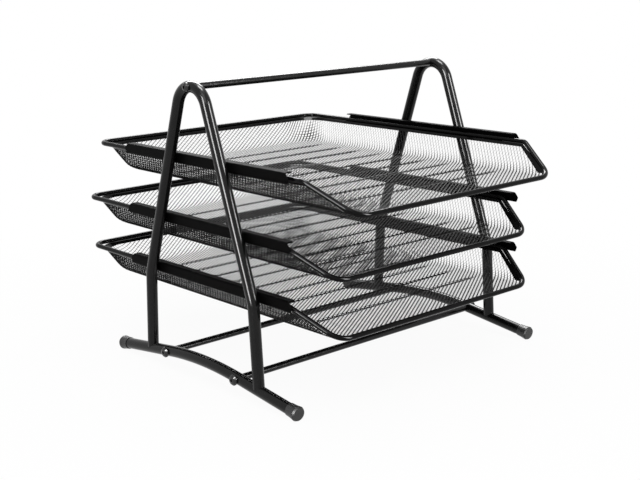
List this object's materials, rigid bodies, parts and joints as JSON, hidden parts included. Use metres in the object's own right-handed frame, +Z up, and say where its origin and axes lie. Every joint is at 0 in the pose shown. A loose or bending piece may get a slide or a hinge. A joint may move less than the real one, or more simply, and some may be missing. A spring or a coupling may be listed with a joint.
{
  "type": "letter tray stack",
  "caption": "Stack of sliding mesh letter trays carried in channel rails between A-shaped tube side frames, with a handle rod, cross bars and arched feet.",
  "frame": {"origin": "middle of the stack seen from above, on the table under the foot caps", "axes": "+X to the right seen from the front, +Y to the back of the trays, +Z up"},
  "size_m": [0.3056, 0.3659, 0.2616],
  "materials": {
    "tube": "semi-gloss black enamel",
    "rail": "semi-gloss black enamel",
    "rim": "semi-gloss black enamel",
    "mesh": "semi-gloss black enamel on expanded steel mesh",
    "screw": "black, slightly shinier than the tubes",
    "cap": "satin black"
  },
  "bodies": {
    "stand": {"side_frame_left": "tube", "side_frame_right": "tube", "foot_tube_left": "tube", "foot_tube_right": "tube", "handle_rod": "tube", "cross_bar_front": "tube", "cross_bar_back": "tube", "handle_screws": "screw", "cross_bar_screws": "screw", "foot_cap_front_left": "cap", "foot_cap_front_right": "cap", "foot_cap_back_left": "cap", "foot_cap_back_right": "cap", "rail_bottom_left": "rail", "rail_bottom_right": "rail", "rail_middle_left": "rail", "rail_middle_right": "rail", "rail_top_left": "rail", "rail_top_right": "rail"},
    "tray_bottom": {"tray_bottom_mesh_pan": "mesh", "tray_bottom_hem": "rim", "tray_bottom_rim": "rim"},
    "tray_middle": {"tray_middle_mesh_pan": "mesh", "tray_middle_hem": "rim", "tray_middle_rim": "rim"},
    "tray_top": {"tray_top_mesh_pan": "mesh", "tray_top_hem": "rim", "tray_top_rim": "rim"}
  },
  "joints": [
    {"name": "tray_bottom_slide", "type": "slide", "parent": "stand", "child": "tray_bottom", "axis": [0, -1, 0], "range_m": [-0.002, 0.178]},
    {"name": "tray_middle_slide", "type": "slide", "parent": "stand", "child": "tray_middle", "axis": [0, -1, 0], "range_m": [0, 0.18]},
    {"name": "tray_top_slide", "type": "slide", "parent": "stand", "child": "tray_top", "axis": [0, -1, 0], "range_m": [-0.0245, 0.1555]}
  ]
}
